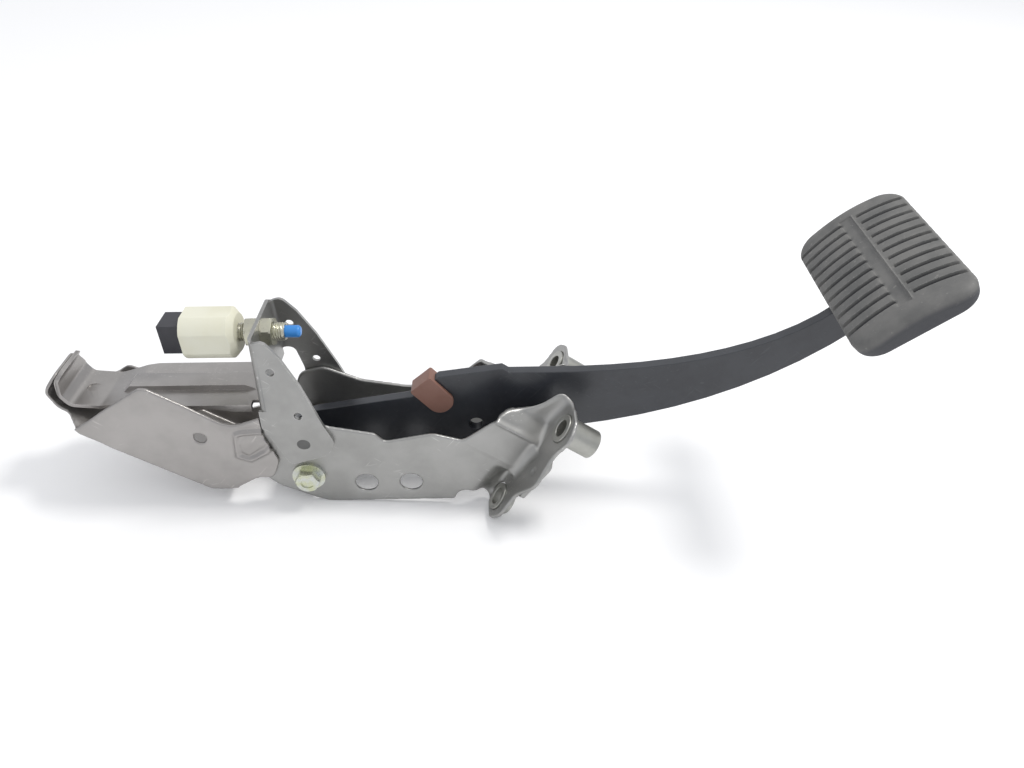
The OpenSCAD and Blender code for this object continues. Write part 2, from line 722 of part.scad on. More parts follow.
function pad_outline(m, r) = let (a = pad_h / 2 - m, b = pad_w / 2 - m)
    rounded([[-a, -b, r], [a, -b, r], [a, b, r], [-a, b, r]], 6);

module pad_plate() color("#3a3b3e") on_pad() linear_extrude(pad_plate_t) pad_pocket();

module pad_pocket() polygon(pad_outline(plate_margin, pad_corner - 3));

// All that lies below the crowned face, or below a parallel face that is deeper by d
module under_crown(d) translate([0, pad_w, pad_top - crown_r - d]) rotate([90, 0, 0])
    cylinder(r = crown_r, h = 2 * pad_w, $fn = 128);

// The face seen across the car and along the foot, with rounded rims
pad_side = rounded(concat([[-pad_h / 2, pad_low], [-pad_h / 2, pad_top - edge_drop, rim_r]],
                          [for (i = [-7:7]) let (x = i * pad_h / 20) [x, pad_top - x * x / (2 * crown_r)]],
                          [[pad_h / 2, pad_top - edge_drop, rim_r], [pad_h / 2, pad_low]]));
pad_front = rounded([[-pad_w / 2, pad_low], [pad_w / 2, pad_low], [pad_w / 2, pad_top, rim_r + 1],
                     [-pad_w / 2, pad_top, rim_r + 1]], 6);

module pad_body() intersection() {
    translate([0, 0, pad_low]) linear_extrude(pad_top - pad_low) polygon(pad_outline(0, pad_corner));
    across(-pad_w / 2, pad_w) polygon(pad_side);
    translate([-pad_h / 2, 0, 0]) rotate([90, 0, 90]) linear_extrude(pad_h) polygon(pad_front);
}

module groove(x_low, x_high, y)
    translate([x_low, y - groove_w / 2, 0]) cube([x_high - x_low, groove_w, 2 * pad_top]);

module pad_rubber() color("#3b3b3c") difference() {
    on_pad() difference() {
        pad_body();
        // The pocket that grips the steel plate, and the opening behind it
        linear_extrude(pad_plate_t) pad_pocket();
        translate([0, 0, -skirt]) linear_extrude(skirt)
            polygon(pad_outline(plate_margin + 3, pad_corner - 3));
        difference() {
            translate([low_end_x, channel_last - pad_w / 2, 0])
                cube([channel_w, pad_w - channel_first - channel_last + 6, 2 * pad_top]);
            under_crown(channel_depth);
        }
        difference() {
            for (i = [0:groove_count - 1]) {
                groove(-pad_h / 2 - 1, low_end_x, groove_first - i * groove_pitch);
                groove(high_start_x, pad_h / 2 - edge_margin, groove_first - i * groove_pitch);
            }
            under_crown(groove_depth);
        }
    }
    // Room for the arm in the skirt
    on_arm_end() translate([-pad_h / 2 - 4, -arm_half - arm_slot, -skirt])
        cube([pad_h / 2, arm_t + 2 * arm_slot, skirt]);
}

// The ends of the whole length as it lies, from the back of the hook to the pad's high edge
function lying_x(p) = p[0] * cos(lay) - p[1] * sin(lay);
hook_end = min([for (p = outer_line) lying_x(p)]);
pad_end = max([for (p = pad_outline(0, pad_corner))
    lying_x(pad_back + pad_dir * (p[0] * cos(pad_turn) + p[1] * sin(pad_turn)) + pad_out * pad_low)]);
middle_x = (hook_end + pad_end) / 2;

laid() side_plate_near();
laid() side_plate_far();
laid() base_plate();
laid() collar_near_upper();
laid() collar_near_lower();
laid() collar_far_upper();
laid() collar_far_lower();
laid() outer_channel();
laid() hook_channel();
laid() switch_bracket();
laid() switch_body();
laid() switch_connector();
laid() switch_terminals();
laid() switch_barrel();
laid() switch_nut_rear();
laid() switch_nut_front();
laid() plunger();
laid() pivot_bolt();
laid() pivot_nut();
laid() pivot_sleeve();
laid() boss_tube();
laid() bush_near();
laid() bush_far();
laid() pedal_arm();
laid() stop_clip();
laid() pad_plate();
laid() pad_rubber();
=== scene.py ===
# %% [markdown]
# # A hanging brake pedal on its bracket
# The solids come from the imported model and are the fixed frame: their size and place are right already.
# This lesson gives them their looks. Pressed sheets get soft bends, cut edges get a small worn round,
# threads get real turns, the rubber gets its grooves, and every surface gets a finish that is worked
# out from noise and geometry.

import json
import math

import bmesh
import bpy
import numpy as np
from mathutils import Matrix, Vector


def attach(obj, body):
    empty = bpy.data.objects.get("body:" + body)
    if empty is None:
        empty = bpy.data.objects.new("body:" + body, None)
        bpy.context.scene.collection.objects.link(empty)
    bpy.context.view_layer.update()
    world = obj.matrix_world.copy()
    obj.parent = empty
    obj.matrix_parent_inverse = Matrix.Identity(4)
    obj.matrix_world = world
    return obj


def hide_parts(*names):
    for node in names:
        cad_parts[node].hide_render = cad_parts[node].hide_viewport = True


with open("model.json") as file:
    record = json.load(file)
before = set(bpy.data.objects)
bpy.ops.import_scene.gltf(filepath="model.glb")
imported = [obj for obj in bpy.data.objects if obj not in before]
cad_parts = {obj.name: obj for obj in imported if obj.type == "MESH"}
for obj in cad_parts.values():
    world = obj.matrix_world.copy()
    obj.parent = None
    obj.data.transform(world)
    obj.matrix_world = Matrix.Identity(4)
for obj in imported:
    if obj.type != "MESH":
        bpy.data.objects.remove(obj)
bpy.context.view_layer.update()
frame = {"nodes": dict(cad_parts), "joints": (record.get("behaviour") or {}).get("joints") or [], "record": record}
nodes = frame["nodes"]
record = frame["record"]
slot_of = {part["node"]: part["material_slot"] for part in record["subparts"]}
body_of = {node: body for body, members in record["behaviour"]["bodies"].items() for node in members}

# %% [markdown]
# ## One drawing frame for the new pieces
# The bracket was drawn with its pivot at the origin and its bottom edge level, and was then laid down by a
# few degrees until it rested. New pieces are drawn in the same level frame, in millimetres, and one
# function lays them down. It takes the pivot from the hinge and the angle from the plunger's slide.

# %% The drawing frame
joints = {joint["name"]: joint for joint in frame["joints"]}
pivot = np.array(joints["pedal_pivot"]["pos_m"])
slide = joints["plunger_slide"]["axis"]
LAY = math.atan2(-slide[2], -slide[0])
MM = 0.001


def turned_down(v):
    """A direction of the drawing frame, turned about Y by the laying angle."""
    v = np.asarray(v, float)
    x, y, z = v[..., 0], v[..., 1], v[..., 2]
    return np.stack([x * math.cos(LAY) - z * math.sin(LAY), y, x * math.sin(LAY) + z * math.cos(LAY)], -1)


def laid(points):
    """Millimetre points of the drawing frame, turned down and put at the pivot, in metres."""
    return turned_down(points) * MM + pivot


print("laid down by", round(math.degrees(LAY), 2), "degrees")

# %% [markdown]
# ## Noise, wear and brushing as node groups
# Real finishes differ by where the surface is: plating is cloudy, edges are polished by handling, and
# sheet keeps faint rolling lines. Each of these effects is one node group that puts out a mask from
# Object coordinates. A material then mixes its own colours and roughness with the masks.

# %% Small helpers for shader nodes


def link(tree, source, target):
    tree.links.new(source, target)


def add(tree, kind, **sockets):
    """A node of that kind, with its input sockets set to constants or linked from other sockets."""
    node = tree.nodes.new(kind)
    for name, value in sockets.items():
        socket = node.inputs[name.replace("_", " ")]
        if isinstance(value, bpy.types.NodeSocket):
            link(tree, value, socket)
        else:
            socket.default_value = value
    return node


def math_node(tree, operation, *values):
    """A Math node whose inputs are numbers or sockets."""
    node = tree.nodes.new("ShaderNodeMath")
    node.operation = operation
    node.use_clamp = operation in ("MULTIPLY_ADD", "ADD", "SUBTRACT")
    for socket, value in zip(node.inputs, values):
        if isinstance(value, bpy.types.NodeSocket):
            link(tree, value, socket)
        else:
            socket.default_value = value
    return node.outputs[0]


def steps(tree, value, low, high, to_low=0.0, to_high=1.0):
    """Remap a value from low..high to to_low..to_high, smoothly and clamped."""
    node = tree.nodes.new("ShaderNodeMapRange")
    node.interpolation_type = "SMOOTHSTEP"
    for name, number in (("From Min", low), ("From Max", high), ("To Min", to_low), ("To Max", to_high)):
        node.inputs[name].default_value = number
    link(tree, value, node.inputs["Value"])
    return node.outputs[0]


def noise(tree, vector, scale, detail=3.0, rough=0.55):
    """The factor of a noise texture at a scale per metre."""
    node = add(tree, "ShaderNodeTexNoise", Scale=scale, Detail=detail, Roughness=rough)
    link(tree, vector, node.inputs["Vector"])
    return node.outputs["Fac"]


def stretched(tree, vector, scale, turn=0.0):
    """Coordinates turned about Y and then scaled by three numbers, so that noise becomes turned streaks."""
    turned = tree.nodes.new("ShaderNodeVectorRotate")
    turned.rotation_type = "Y_AXIS"
    turned.inputs["Angle"].default_value = turn
    link(tree, vector, turned.inputs["Vector"])
    node = tree.nodes.new("ShaderNodeMapping")
    node.inputs["Scale"].default_value = scale
    link(tree, turned.outputs[0], node.inputs["Vector"])
    return node.outputs[0]


def new_group(name, inputs, outputs):
    """An empty node group with float inputs and outputs, and its two end nodes."""
    tree = bpy.data.node_groups.new(name, "ShaderNodeTree")
    for label, value in inputs.items():
        socket = tree.interface.new_socket(label, in_out="INPUT", socket_type="NodeSocketFloat")
        socket.default_value = value
    for label in outputs:
        tree.interface.new_socket(label, in_out="OUTPUT", socket_type="NodeSocketFloat")
    return tree, tree.nodes.new("NodeGroupInput"), tree.nodes.new("NodeGroupOutput")


# %% The cloud group: slow patches, fine grain and specks
def make_cloud():
    """Patches are broad noise, grain is fine noise and specks are the peaks of a third noise."""
    tree, start, end = new_group("cloud", {"Scale": 60.0, "Grain": 1500.0}, ("Patches", "Grain", "Specks"))
    where = tree.nodes.new("ShaderNodeTexCoord").outputs["Object"]
    patches = add(tree, "ShaderNodeTexNoise", Detail=4.0, Roughness=0.6)
    link(tree, where, patches.inputs["Vector"])
    link(tree, start.outputs["Scale"], patches.inputs["Scale"])
    grain = add(tree, "ShaderNodeTexNoise", Detail=2.0, Roughness=0.5)
    link(tree, where, grain.inputs["Vector"])
    link(tree, start.outputs["Grain"], grain.inputs["Scale"])
    specks = noise(tree, where, 420.0, 2.0, 0.5)
    link(tree, steps(tree, patches.outputs["Fac"], 0.32, 0.68), end.inputs["Patches"])
    link(tree, grain.outputs["Fac"], end.inputs["Grain"])
    link(tree, steps(tree, specks, 0.66, 0.74), end.inputs["Specks"])
    return tree


# %% The wear group: bright worn edges
def make_wear():
    """The mask is high where the rounded normal turns away from the true one, broken up by noise."""
    tree, start, end = new_group("wear", {"Radius": 0.0006, "Break": 350.0}, ("Edge",))
    where = tree.nodes.new("ShaderNodeTexCoord").outputs["Object"]
    soft = tree.nodes.new("ShaderNodeBevel")
    soft.samples = 4
    link(tree, start.outputs["Radius"], soft.inputs["Radius"])
    true = tree.nodes.new("ShaderNodeNewGeometry").outputs["Normal"]
    dot = tree.nodes.new("ShaderNodeVectorMath")
    dot.operation = "DOT_PRODUCT"
    link(tree, soft.outputs["Normal"], dot.inputs[0])
    link(tree, true, dot.inputs[1])
    bend = steps(tree, math_node(tree, "SUBTRACT", 1.0, dot.outputs["Value"]), 0.01, 0.16)
    spots = add(tree, "ShaderNodeTexNoise", Detail=3.0, Roughness=0.6)
    link(tree, where, spots.inputs["Vector"])
    link(tree, start.outputs["Break"], spots.inputs["Scale"])
    broken = steps(tree, spots.outputs["Fac"], 0.35, 0.6)
    link(tree, math_node(tree, "MULTIPLY", bend, broken), end.inputs["Edge"])
    return tree


# %% The scratch group: faint rolling lines and a few scuffs
def make_scratch():
    """Lines are noise stretched along X. Scuffs are the peaks of noise stretched along three directions,
    kept only where a slow noise is high, so they are straight, short and rare."""
    tree, start, end = new_group("scratch", {"Amount": 1.0}, ("Lines", "Scuffs"))
    where = tree.nodes.new("ShaderNodeTexCoord").outputs["Object"]
    lines = noise(tree, stretched(tree, where, (60.0, 1800.0, 1800.0), 0.25), 1.0, 3.0, 0.6)
    scuffs = None
    where_worn = steps(tree, noise(tree, where, 38.0, 2.0, 0.5), 0.5, 0.62)
    for turn, size in ((0.9, 60.0), (-0.6, 80.0), (0.25, 70.0)):
        thin = noise(tree, stretched(tree, where, (size, size * 14.0, size * 14.0), turn), 1.0, 2.0, 0.5)
        band = math_node(tree, "MULTIPLY", steps(tree, thin, 0.66, 0.72), where_worn)
        scuffs = band if scuffs is None else math_node(tree, "MAXIMUM", scuffs, band)
    link(tree, lines, end.inputs["Lines"])
    link(tree, math_node(tree, "MULTIPLY", scuffs, start.outputs["Amount"]), end.inputs["Scuffs"])
    return tree


groups = {"cloud": make_cloud(), "wear": make_wear(), "scratch": make_scratch()}
print("node groups:", sorted(groups))

# %% [markdown]
# ## One recipe for a finish
# A finish is a Principled shader with two base colours mixed by the patches, a third on worn edges, and
# roughness and bump from the grain. Painted, plated and moulded parts differ only in those numbers, so
# one function with named values makes them all, and each call below describes one real finish.

# %% The finish recipe


def place(tree, group, **values):
    node = tree.nodes.new("ShaderNodeGroup")
    node.node_tree = groups[group]
    for name, value in values.items():
        node.inputs[name].default_value = value
    return node.outputs


def mixed(tree, factor, low, high):
    """Mix two colours, each a tuple or a socket, by a factor socket."""
    node = tree.nodes.new("ShaderNodeMix")
    node.data_type = "RGBA"
    link(tree, factor, node.inputs["Factor"])
    for socket, value in ((node.inputs[6], low), (node.inputs[7], high)):
        if isinstance(value, bpy.types.NodeSocket):
            link(tree, value, socket)
        else:
            socket.default_value = (*value, 1.0)
    return node.outputs[2]


def finish(name, base, patch, worn, metallic, rough, wear=0.6, scuffs=0.0, specks=None, grain=0.25,
           grain_scale=1500.0, cloud=60.0, worn_metal=None, coat=0.0, wear_radius=0.0006, bump=0.00004,
           painted_shade=None):
    """A material: patches mix base and patch, wear and scuffs show worn, grain drives bump and gloss.
    Where the piece carries the painted shade attribute, the colour turns to its painted shade colour."""
    material = bpy.data.materials.new(name)
    material.use_nodes = True
    tree = material.node_tree
    shader = tree.nodes["Principled BSDF"]
    clouds = place(tree, "cloud", Scale=cloud, Grain=grain_scale)
    edges = place(tree, "wear", Radius=wear_radius)
    marks = place(tree, "scratch", Amount=scuffs)
    colour = mixed(tree, clouds["Patches"], base, patch)
    if specks is not None:
        colour = mixed(tree, clouds["Specks"], colour, specks)
    bare = math_node(tree, "MAXIMUM", math_node(tree, "MULTIPLY", edges["Edge"], wear), marks["Scuffs"])
    colour = mixed(tree, bare, colour, worn)
    # Painted shade: a per-point attribute darkens the colour towards a given shade colour.
    if painted_shade is not None:
        shade_attribute = tree.nodes.new("ShaderNodeAttribute")
        shade_attribute.attribute_name = "painted_shade"
        colour = mixed(tree, shade_attribute.outputs["Fac"], colour, painted_shade)
    link(tree, colour, shader.inputs["Base Color"])
    uneven = math_node(tree, "MULTIPLY_ADD", clouds["Grain"], grain, rough - grain / 2)
    lined = math_node(tree, "MULTIPLY_ADD", marks["Lines"], 0.04 * metallic, uneven)
    link(tree, math_node(tree, "MULTIPLY_ADD", bare, -0.12, lined), shader.inputs["Roughness"])
    if worn_metal is None:
        shader.inputs["Metallic"].default_value = metallic
    else:
        link(tree, math_node(tree, "MULTIPLY_ADD", bare, worn_metal - metallic, metallic),
             shader.inputs["Metallic"])
    shader.inputs["Coat Weight"].default_value = coat
    shader.inputs["Coat Roughness"].default_value = 0.25
    raised = tree.nodes.new("ShaderNodeBump")
    raised.inputs["Strength"].default_value = 1.0
    raised.inputs["Distance"].default_value = bump
    link(tree, clouds["Grain"], raised.inputs["Height"])
    link(tree, raised.outputs["Normal"], shader.inputs["Normal"])
    return material


# %% [markdown]
# ## The finishes of this pedal
# The bracket is zinc plated: light grey with a faint green and cloudy patches. The hook end is bare
# pressed steel with a warm tinge. The arm is black paint, the clip brown plastic, the switch cream.

# %% The finishes
finishes = {
    "plated_sheet": finish("zinc_plate", (0.415, 0.412, 0.400), (0.335, 0.333, 0.322), (0.70, 0.70, 0.68), 0.82, 0.37,
                           wear=0.75, scuffs=0.5, grain=0.12, cloud=26.0),
    "hook_sheet": finish("warm_steel", (0.44, 0.422, 0.408), (0.355, 0.34, 0.328), (0.74, 0.71, 0.68), 0.82, 0.34,
                         wear=0.7, scuffs=0.35, grain=0.12, cloud=24.0),
    "collar_steel": finish("collar_zinc", (0.47, 0.47, 0.44), (0.38, 0.38, 0.35), (0.78, 0.78, 0.74), 0.85, 0.34),
    "switch_plastic": finish("cream_plastic", (0.78, 0.77, 0.64), (0.74, 0.72, 0.56), (0.86, 0.86, 0.78), 0.0, 0.42,
                             wear=0.3, grain=0.1, cloud=30.0),
    "connector_plastic": finish("black_plastic", (0.030, 0.030, 0.036), (0.040, 0.040, 0.048), (0.10, 0.10, 0.11),
                                0.0, 0.45, wear=0.4, grain=0.15),
    "terminal_brass": finish("tinned_brass", (0.62, 0.52, 0.30), (0.52, 0.44, 0.27), (0.8, 0.72, 0.5), 0.9, 0.3),
    "thread_steel": finish("yellow_zinc", (0.60, 0.59, 0.47), (0.46, 0.45, 0.38), (0.80, 0.79, 0.72), 0.88, 0.3),
    "plunger_plastic": finish("blue_plastic", (0.035, 0.22, 0.62), (0.045, 0.27, 0.70), (0.2, 0.45, 0.8), 0.0, 0.3,
                              wear=0.2, grain=0.08),
    "bolt_steel": finish("bolt_zinc", (0.62, 0.64, 0.62), (0.60, 0.62, 0.44), (0.85, 0.85, 0.80), 0.88, 0.28,
                         cloud=170.0),
    "sleeve_steel": finish("drawn_steel", (0.42, 0.42, 0.42), (0.34, 0.34, 0.35), (0.7, 0.7, 0.7), 0.9, 0.35),
    "bush_plastic": finish("bearing_plastic", (0.62, 0.58, 0.46), (0.55, 0.51, 0.40), (0.7, 0.68, 0.6), 0.0, 0.5),
    "arm_paint": finish("black_paint", (0.020, 0.022, 0.028), (0.028, 0.031, 0.038), (0.13, 0.14, 0.15), 0.0, 0.34,
                        wear=0.5, scuffs=0.12, grain=0.1, specks=(0.035, 0.038, 0.044), coat=0.35, bump=0.00002),
    "clip_plastic": finish("brown_plastic", (0.21, 0.105, 0.075), (0.25, 0.13, 0.10), (0.38, 0.26, 0.21), 0.0, 0.45,
                           wear=0.5, grain=0.12),
    "plate_paint": finish("plate_black", (0.030, 0.030, 0.032), (0.04, 0.04, 0.042), (0.2, 0.2, 0.2), 0.0, 0.5),
    # The rubber's last colour is a painted shade, for its groove floors and its sides.
    "pad_rubber": finish("dusty_rubber", (0.125, 0.125, 0.122), (0.175, 0.172, 0.165), (0.33, 0.325, 0.31), 0.0, 0.66,
                         wear=0.6, scuffs=0.08, specks=(0.21, 0.205, 0.195), grain=0.2, grain_scale=2200.0,
                         wear_radius=0.0008, bump=0.00006, painted_shade=(0.040, 0.042, 0.050)),
}
print("finishes:", len(finishes))

# %% [markdown]
# ## Worn edges on the solid parts
# A solid straight from the drawing has knife edges that no real part has, and they catch no light. A
# bevel of a few tenths of a millimetre on every sharp edge is enough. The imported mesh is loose
# triangles, so a copy is merged and its flat faces are joined before the Bevel modifier can work.

# %% Helpers for copies with rounded edges
SHARP_DEG, FLAT_DEG = 34.0, 0.4
MERGE_M = 2e-6


def shown(mesh, name, like, material=None, smooth_deg=SHARP_DEG):
    """Make an object of a mesh, give it the finish and body of the node it is like, and smooth it."""
    piece = bpy.data.objects.new(name, mesh)
    bpy.context.scene.collection.objects.link(piece)
    mesh.materials.clear()
    mesh.materials.append(finishes[slot_of[like]] if material is None else material)
    mesh.polygons.foreach_set("use_smooth", np.ones(len(mesh.polygons), bool))
    mesh.set_sharp_from_angle(angle=math.radians(smooth_deg))
    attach(piece, body_of[like])
    return piece


def bevelled(piece, width_mm):
    """Add a Bevel modifier that rounds the sharp edges."""
    bevel = piece.modifiers.new("worn_edges", "BEVEL")
    bevel.width = width_mm * MM
    bevel.segments = 2
    bevel.limit_method = "ANGLE"
    bevel.angle_limit = math.radians(SHARP_DEG)
    bevel.harden_normals = True


def eased(node, width_mm):
    """A merged copy of a node with worn edges, which stands for it."""
    mesh = nodes[node].data.copy()
    work = bmesh.new()
    work.from_mesh(mesh)
    bmesh.ops.remove_doubles(work, verts=work.verts, dist=MERGE_M)
    bmesh.ops.dissolve_limit(work, angle_limit=math.radians(FLAT_DEG), verts=work.verts, edges=work.edges)
    work.to_mesh(mesh)
    work.free()
    if node == "hook_channel":
        co = np.empty(len(mesh.vertices) * 3)
        mesh.vertices.foreach_get("co", co)
        mesh.vertices.foreach_set("co", laid(tipped(raised_up(co.reshape(-1, 3)))).ravel())
    piece = shown(mesh, node + "_worn", node)
    bevelled(piece, width_mm)
    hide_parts(node)
    return piece

# %% [markdown]
# ## Pressed side plates
# A press stretches sheet over a die, so a pressed plate has no sharp inner corners: the wall swings into
# the flange, and creases and ridges run out softly. The solids have flat facets there. A merged copy is
# turned into an even net of small quads, and then whole arrays do the pressing: a ridge and a crease are
# heights over the plate's own plane, and the bend at the flange is relaxed towards its neighbours.

# %% The plate's own coordinates
LEAN, FLANGE_AT = math.radians(35.0), (122.0, 9.5)
NET_M = 0.0007
TIP_IN, CREASE_OUT, RIDGE_OUT = 1.3, 0.35, 1.7
CREASE_UP, RIDGE_UP = -9.5, 10.9
BEND_ROUNDS = 110


def raised_up(points):
    """World metres back to millimetres of the drawing frame, the reverse of laid."""
    v = (points - pivot) / MM
    return np.stack([v[:, 0] * math.cos(LAY) + v[:, 2] * math.sin(LAY), v[:, 1],
                     v[:, 2] * math.cos(LAY) - v[:, 0] * math.sin(LAY)], -1)


def on_flange(points):
    """Heights up the leaning flange, and distances in front of it (negative towards the pivot)."""
    x, z = points[:, 0] - FLANGE_AT[0], points[:, 2] - FLANGE_AT[1]
    return x * math.sin(LEAN) + z * math.cos(LEAN), x * math.cos(LEAN) - z * math.sin(LEAN)


def ramp(value, low, high):
    """Zero below low and one above high, with an s-curve between."""
    t = np.clip((value - low) / (high - low), 0.0, 1.0)
    return t * t * (3.0 - 2.0 * t)


# %% An even net, pressed and relaxed
def netted(node, cell_m):
    """A merged copy of a node as an even net of quads, by the Remesh modifier's voxels."""
    mesh = nodes[node].data.copy()
    work = bmesh.new()
    work.from_mesh(mesh)
    bmesh.ops.remove_doubles(work, verts=work.verts, dist=MERGE_M)
    work.to_mesh(mesh)
    work.free()
    holder = bpy.data.objects.new("net", mesh)
    bpy.context.scene.collection.objects.link(holder)
    remesh = holder.modifiers.new("net", "REMESH")
    remesh.mode = "VOXEL"
    remesh.voxel_size = cell_m
    net = bpy.data.meshes.new_from_object(holder.evaluated_get(bpy.context.evaluated_depsgraph_get()))
    bpy.data.objects.remove(holder)
    return net


def relaxed(points, edges, share, rounds):
    """Move each point by its share towards the mean of its neighbours, a number of times."""
    ends = np.concatenate([edges, edges[:, ::-1]])
    count = np.bincount(ends[:, 0], minlength=len(points))[:, None]
    for _ in range(rounds):
        total = np.stack([np.bincount(ends[:, 0], points[ends[:, 1], axis], len(points)) for axis in range(3)], -1)
        points = points + share[:, None] * (total / count - points)
    return points


def pressed(node):
    """The plate's wall tips in above the crease, carries a ridge, and swings softly into the flange."""
    mesh = netted(node, NET_M)
    points = np.empty(len(mesh.vertices) * 3)
    mesh.vertices.foreach_get("co", points)
    edges = np.empty(len(mesh.edges) * 2, np.int32)
    mesh.edges.foreach_get("vertices", edges)
    points, edges = raised_up(points.reshape(-1, 3)), edges.reshape(-1, 2)
    up, front = on_flange(points)
    wall = (1.0 - ramp(front, -5.0, -1.5)) * ramp(front, -50.0, -34.0)
    tip = -TIP_IN * ramp(up, CREASE_UP, 10.6) * (1.0 - ramp(up, 10.6, 15.0)) * wall
    crease = CREASE_OUT * np.exp(-((up - CREASE_UP) / 1.0) ** 2) * wall
    ridge = RIDGE_OUT * np.exp(-((up - RIDGE_UP) / 1.1) ** 2) * wall
    points[:, 1] += np.sign(points[:, 1]) * (tip + crease + ridge)
    bend = ramp(front, -17.0, -11.0) * (1.0 - ramp(np.abs(points[:, 1]), 23.0, 25.5))
    points = relaxed(points, edges, 0.6 * bend * (0.35 + 0.65 * ramp(-up, -12.0, 0.0)), BEND_ROUNDS)
    points = relaxed(points, edges, np.full(len(points), 0.5), 2)
    mesh.vertices.foreach_set("co", laid(points).ravel())
    mesh.update()
    piece = shown(mesh, node + "_pressed", node, smooth_deg=80.0)
    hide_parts(node)
    return piece


for node in ("side_plate_near", "side_plate_far"):
    piece = pressed(node)
    print(piece.name, len(piece.data.polygons), "quads")

# %% [markdown]
# ## The hook and its emboss
# The two long sheets end in a hook whose tip is narrower and rounded, and the near wall carries a
# stiffening emboss: a raised rim round a lower island. Both are small changes of a flat sheet. The
# outer sheet gets them as a net, where the rim is a bump over the distance to a closed line on the wall.
# The inner sheet keeps its crisp rib, so its copy with worn edges only gets the same tip.

# %% The emboss and the hook's tip
EMBOSS_RIM = np.array([(-35.4, 32.6), (-30.4, 34.1), (-20.2, 34.7), (-9.0, 29.3), (-18.6, 17.8), (-29.2, 11.8),
                       (-37.2, 15.6)])
EMBOSS_ISLAND = np.array([(-33.0, 26.3), (-29.0, 30.1), (-22.6, 30.3), (-16.0, 25.9), (-23.3, 21.1), (-29.7, 16.2),
                          (-32.9, 19.1)])
WALL_OUT, WALL_IN = 28.3, 26.3
RIM_OUT, ISLAND_OUT, HOLLOW_IN = 2.3, 0.8, 0.6
OUTER_NET_M = 0.0008
LIP_SHORTER, LIP_NARROWER = 0.34, 0.22
HOOK_BACK, LIP_DIRECTION = np.array([-134.0, 51.0]), np.array([0.605, 0.796])


def signed_distance(places, corners):
    """Distance to a closed line of corners, negative inside it."""
    start, step = corners, np.roll(corners, -1, 0) - corners
    gap = places[:, None, :] - start
    share = np.clip((gap * step).sum(-1) / (step ** 2).sum(-1), 0.0, 1.0)
    distance = np.linalg.norm(gap - share[..., None] * step, axis=-1).min(-1)
    end = start + step
    crosses = (start[:, 1] > places[:, None, 1]) != (end[:, 1] > places[:, None, 1])
    rise = np.where(step[:, 1] == 0.0, 1e-9, step[:, 1])
    left = places[:, None, 0] < start[:, 0] + (places[:, None, 1] - start[:, 1]) * step[:, 0] / rise
    return np.where((crosses & left).sum(-1) % 2 == 1, -distance, distance)


def tipped(points):
    """Above the hook's back, draw the lip back along itself and narrow it towards the tip."""
    lip = ramp(points[:, 2], 51.5, 55.0) * (points[:, 0] < -112.0)
    reach = (points[:, [0, 2]] - HOOK_BACK) @ LIP_DIRECTION
    back = lip * np.maximum(reach - 4.0, 0.0) * -LIP_SHORTER
    narrow = 1.0 - LIP_NARROWER * lip * ramp(reach, 4.0, 17.0)
    return points * np.stack([np.ones(len(points)), narrow, np.ones(len(points))], -1) + np.stack(
        [back * LIP_DIRECTION[0], 0.0 * back, back * LIP_DIRECTION[1]], -1)


def embossed(node, cell_m):
    """A net of the outer sheet, with the emboss on its near wall and a shorter, narrower tip."""
    mesh = netted(node, cell_m)
    points = np.empty(len(mesh.vertices) * 3)
    mesh.vertices.foreach_get("co", points)
    edges = np.empty(len(mesh.edges) * 2, np.int32)
    mesh.edges.foreach_get("vertices", edges)
    points, edges = raised_up(points.reshape(-1, 3)), edges.reshape(-1, 2)
    across, places = points[:, 1], points[:, [0, 2]]
    near = (across < -24.5) & (np.abs(places[:, 0] + 23.0) < 20.0) & (np.abs(places[:, 1] - 22.0) < 20.0)
    rim = signed_distance(places[near], EMBOSS_RIM)
    island = signed_distance(places[near], EMBOSS_ISLAND)
    flat = np.where(across[near] < -(WALL_OUT + WALL_IN) / 2, -WALL_OUT, -WALL_IN)
    inside = 1.0 - ramp(rim, 0.5, 3.0)
    bump = RIM_OUT * np.exp(-((rim + 1.6) / 1.2) ** 2) + ISLAND_OUT * (1.0 - ramp(island, -0.6, 0.3))
    bump = bump - HOLLOW_IN * inside
    points[near, 1] = across[near] + inside * (flat - across[near]) - bump
    points = tipped(relaxed(points, edges, np.full(len(points), 0.5), 3))
    smooth = ramp(-points[:, 0], 100.0, 108.0)
    points = relaxed(points, edges, 0.5 * smooth, 12)
    mesh.vertices.foreach_set("co", laid(points).ravel())
    mesh.update()
    piece = shown(mesh, node + "_pressed", node, smooth_deg=80.0)
    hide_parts(node)
    print(piece.name, len(mesh.polygons), "quads")


embossed("outer_channel", OUTER_NET_M)

# %% [markdown]
# ## Every other solid gets its worn edges
# A handled part is rounder where it is soft or thick and keeps crisper edges where it is thin, so each
# node has its own width in millimetres. The solids themselves get the same finishes.

# %% The copies with worn edges
edge_mm = {
    "base_plate": 0.3,
    "collar_near_upper": 0.5, "collar_near_lower": 0.5, "collar_far_upper": 0.5, "collar_far_lower": 0.5,
    "hook_channel": 0.35, "switch_bracket": 0.35,
    "switch_body": 0.6, "switch_connector": 0.3, "switch_terminals": 0.15,
    "switch_nut_rear": 0.25, "switch_nut_front": 0.25, "plunger": 0.2,
    "pivot_bolt": 0.3, "pivot_nut": 0.3, "pivot_sleeve": 0.2, "boss_tube": 0.4,
    "bush_near": 0.2, "bush_far": 0.2, "pedal_arm": 0.45, "stop_clip": 0.4, "pad_plate": 0.4,
}

worn = {node: eased(node, width) for node, width in edge_mm.items()}
for node in nodes:
    nodes[node].data.materials.clear()
    nodes[node].data.materials.append(finishes[slot_of[node]])
print("copies with worn edges:", len(worn))

# %% [markdown]
# ## One skin for a turned or moulded piece
# A threaded barrel and a moulded pad are both a closed skin over a grid of points. The next helpers make
# a mesh of such a grid, close it round where the piece is turned, and point the faces outwards.

# %% A mesh from grids of points


